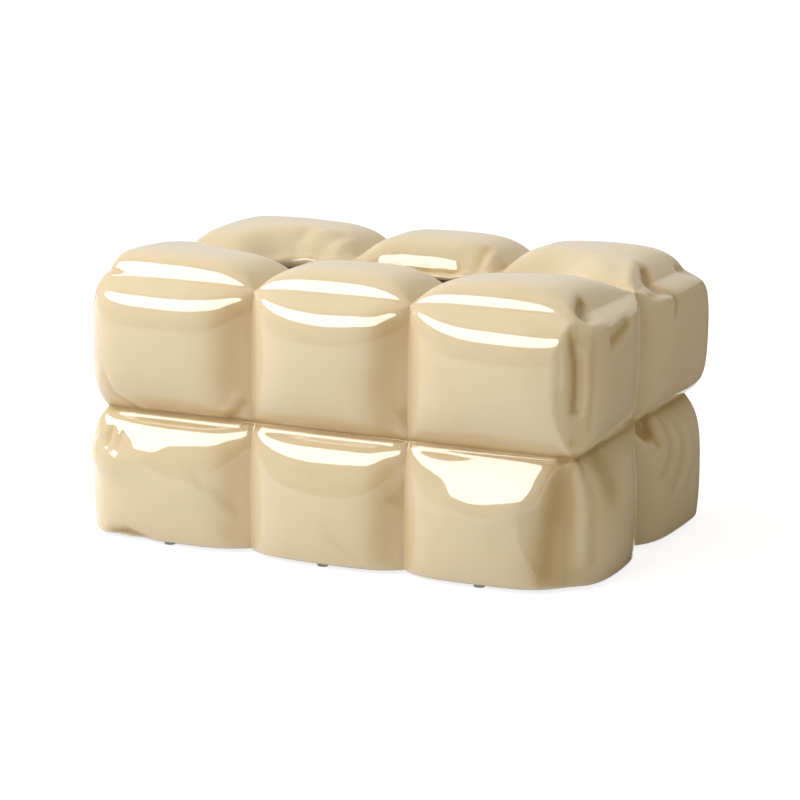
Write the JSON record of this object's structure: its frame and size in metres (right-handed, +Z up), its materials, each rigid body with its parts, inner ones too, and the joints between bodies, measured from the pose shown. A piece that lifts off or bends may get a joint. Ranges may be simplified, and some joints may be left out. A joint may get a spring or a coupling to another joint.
{
  "type": "tissue box cover",
  "caption": "Glazed ceramic tissue box cover shaped like stitched inflated cushions, open underneath, with a long rolled slot in the top.",
  "frame": {"origin": "on the table, under the middle of the cover", "axes": "+X along the length to the right, +Y to the back, +Z up"},
  "size_m": [0.2496, 0.176, 0.1295],
  "materials": {
    "cream_glaze": "glossy",
    "pad_rubber": "satin"
  },
  "bodies": {
    "root": {"cover_shell": "cream_glaze", "pad_front_left": "pad_rubber", "pad_front_centre": "pad_rubber", "pad_front_right": "pad_rubber", "pad_back_left": "pad_rubber", "pad_back_centre": "pad_rubber", "pad_back_right": "pad_rubber"}
  },
  "joints": []
}
